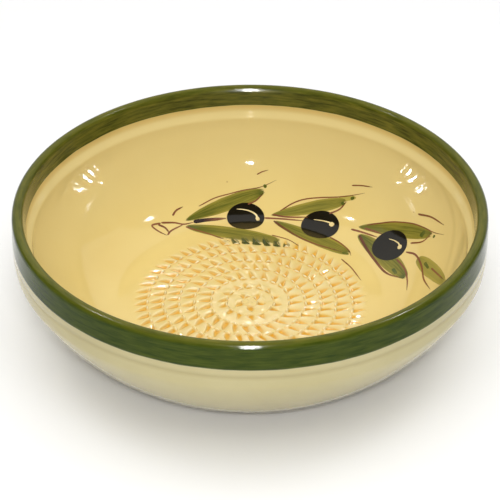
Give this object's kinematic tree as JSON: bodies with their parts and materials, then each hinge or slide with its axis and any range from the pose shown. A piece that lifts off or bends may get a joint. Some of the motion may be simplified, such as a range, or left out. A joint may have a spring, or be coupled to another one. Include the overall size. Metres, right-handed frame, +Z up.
{
  "type": "grater bowl",
  "caption": "Round glazed earthenware bowl on a low foot, with rings of sharp clay teeth on its floor for grating garlic, ginger or cheese by hand.",
  "frame": {"origin": "on the table, under the centre of the bowl", "axes": "+Z up along the bowl's axis; -Y is the side towards the viewer in the picture, +X to the viewer's right"},
  "size_m": [0.2, 0.2, 0.062],
  "materials": {
    "clay": "bare fired earthenware",
    "grater_glaze": "gloss cream-yellow glaze, pooled amber in the furrows",
    "cream_inside": "gloss cream-yellow glaze with a painted olive sprig",
    "cream_outside": "gloss cream glaze",
    "green_band": "gloss olive-green brushed band"
  },
  "bodies": {
    "root": {"bowl_body": "clay", "grater_disc": "grater_glaze", "inside_glaze": "cream_inside", "outside_glaze": "cream_outside", "rim_band": "green_band"}
  },
  "joints": []
}
